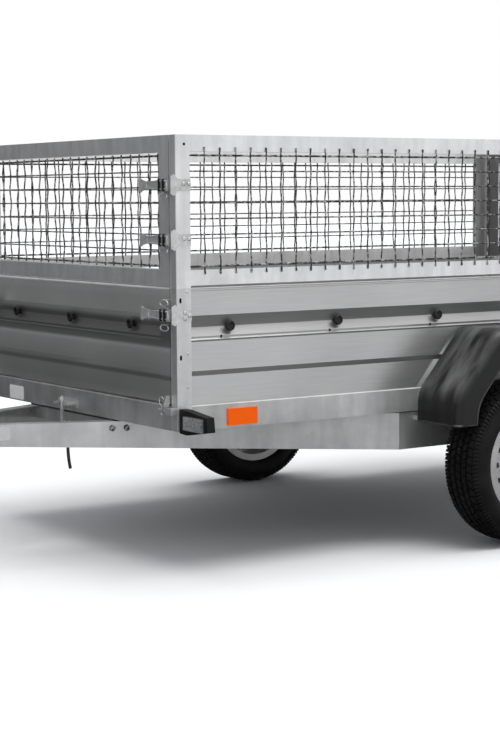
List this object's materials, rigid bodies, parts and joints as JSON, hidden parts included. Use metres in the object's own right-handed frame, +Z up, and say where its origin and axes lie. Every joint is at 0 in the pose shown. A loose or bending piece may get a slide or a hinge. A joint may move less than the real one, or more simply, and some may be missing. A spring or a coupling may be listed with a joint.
{
  "type": "single-axle tipping utility trailer",
  "caption": "Galvanised single-axle utility trailer: tipping box bed with drop boards, woven-wire cage, V drawbar, ball coupling and jockey wheel.",
  "frame": {"origin": "on the ground, at the middle of the bounding box", "axes": "+Z up, +Y towards the tailgate, +X towards the trailer's left side"},
  "size_m": [1.734, 3.571, 1.285],
  "materials": {
    "galvanised_sheet": "hot-dip galvanised sheet",
    "galvanised_frame": "hot-dip galvanised frame steel, mottled",
    "galvanised_wire": "dull galvanised woven wire",
    "zinc_fittings": "zinc-plated fittings",
    "black_plastic": "black moulded plastic",
    "black_rubber": "black rubber",
    "tyre": "black tyre rubber",
    "silver_steel": "silver-painted steel",
    "amber_reflector": "orange reflector",
    "red_reflector": "red reflector",
    "clear_lens": "clear lamp lens",
    "rear_lamp_lens": "red lamp lens",
    "floor_ply": "brown film-faced plywood"
  },
  "bodies": {
    "chassis": {"drawbar_beam_left": "galvanised_frame", "drawbar_beam_right": "galvanised_frame", "chassis_cross_members": "galvanised_frame", "bed_buffers": "black_rubber", "swing_bolt": "zinc_fittings", "axle_beam": "galvanised_frame", "trailing_arms": "galvanised_frame", "mudguard_left": "black_plastic", "mudguard_right": "black_plastic", "mudguard_stays": "galvanised_frame", "coupling_head": "zinc_fittings", "coupling_handle": "black_plastic", "jockey_clamp": "zinc_fittings", "cable_tail": "black_rubber"},
    "bed": {"bed_frame": "galvanised_frame", "corner_posts": "galvanised_frame", "floor_panel": "floor_ply", "floor_bearers": "galvanised_frame", "side_board_left": "galvanised_sheet", "side_board_right": "galvanised_sheet", "cage_frame_left": "galvanised_frame", "cage_frame_right": "galvanised_frame", "cage_mesh_left": "galvanised_wire", "cage_mesh_right": "galvanised_wire", "latch_keepers": "zinc_fittings", "cover_hooks_sides": "black_plastic", "marker_lamp_arms": "black_rubber", "marker_lamp_lenses": "clear_lens", "side_reflectors": "amber_reflector", "rear_lamp_bar": "galvanised_frame", "rear_lamps": "rear_lamp_lens", "rear_reflectors": "red_reflector", "lock_bracket": "zinc_fittings"},
    "front_board": {"drop_board_front": "galvanised_sheet", "board_latches_front": "zinc_fittings", "cover_hooks_front": "black_plastic"},
    "rear_board": {"drop_board_rear": "galvanised_sheet", "board_latches_rear": "zinc_fittings", "cover_hooks_rear": "black_plastic"},
    "front_cage": {"cage_frame_front": "galvanised_frame", "cage_mesh_front": "galvanised_wire", "cage_latches_front": "zinc_fittings"},
    "rear_cage": {"cage_frame_rear": "galvanised_frame", "cage_mesh_rear": "galvanised_wire", "cage_latches_rear": "zinc_fittings"},
    "wheel_left": {"tyre_left": "tyre", "wheel_rim_left": "silver_steel"},
    "wheel_right": {"tyre_right": "tyre", "wheel_rim_right": "silver_steel"},
    "jockey_post": {"jockey_tube": "zinc_fittings", "jockey_leg": "zinc_fittings"},
    "jockey_fork": {"jockey_fork": "zinc_fittings"},
    "jockey_wheel": {"jockey_tyre": "black_rubber", "jockey_rim": "black_plastic"}
  },
  "joints": [
    {"name": "bed_tip", "type": "hinge", "parent": "chassis", "child": "bed", "pos_m": [0, 0.9045, 0.41], "axis": [-1, 0, 0], "range_deg": [0, 18]},
    {"name": "front_board_drop", "type": "hinge", "parent": "bed", "child": "front_board", "pos_m": [0, -0.5915, 0.491], "axis": [1, 0, 0], "range_deg": [0, 90]},
    {"name": "rear_board_drop", "type": "hinge", "parent": "bed", "child": "rear_board", "pos_m": [0, 1.7745, 0.491], "axis": [-1, 0, 0], "range_deg": [0, 90]},
    {"name": "front_cage_fold", "type": "hinge", "parent": "bed", "child": "front_cage", "pos_m": [0, -0.5675, 0.873], "axis": [1, 0, 0], "range_deg": [0, 90]},
    {"name": "rear_cage_fold", "type": "hinge", "parent": "bed", "child": "rear_cage", "pos_m": [0, 1.7505, 0.873], "axis": [-1, 0, 0], "range_deg": [0, 90]},
    {"name": "wheel_left_spin", "type": "hinge", "parent": "chassis", "child": "wheel_left", "pos_m": [0.793, 0.6215, 0.2635], "axis": [1, 0, 0], "continuous": true},
    {"name": "wheel_right_spin", "type": "hinge", "parent": "chassis", "child": "wheel_right", "pos_m": [-0.793, 0.6215, 0.2635], "axis": [1, 0, 0], "continuous": true},
    {"name": "jockey_slide", "type": "slide", "parent": "chassis", "child": "jockey_post", "axis": [0, 0, 1], "range_m": [0, 0.14]},
    {"name": "jockey_swivel", "type": "hinge", "parent": "jockey_post", "child": "jockey_fork", "pos_m": [0.096, -1.3755, 0.221], "axis": [0, 0, 1], "continuous": true},
    {"name": "jockey_spin", "type": "hinge", "parent": "jockey_fork", "child": "jockey_wheel", "pos_m": [0.096, -1.3305, 0.1], "axis": [1, 0, 0], "continuous": true}
  ]
}
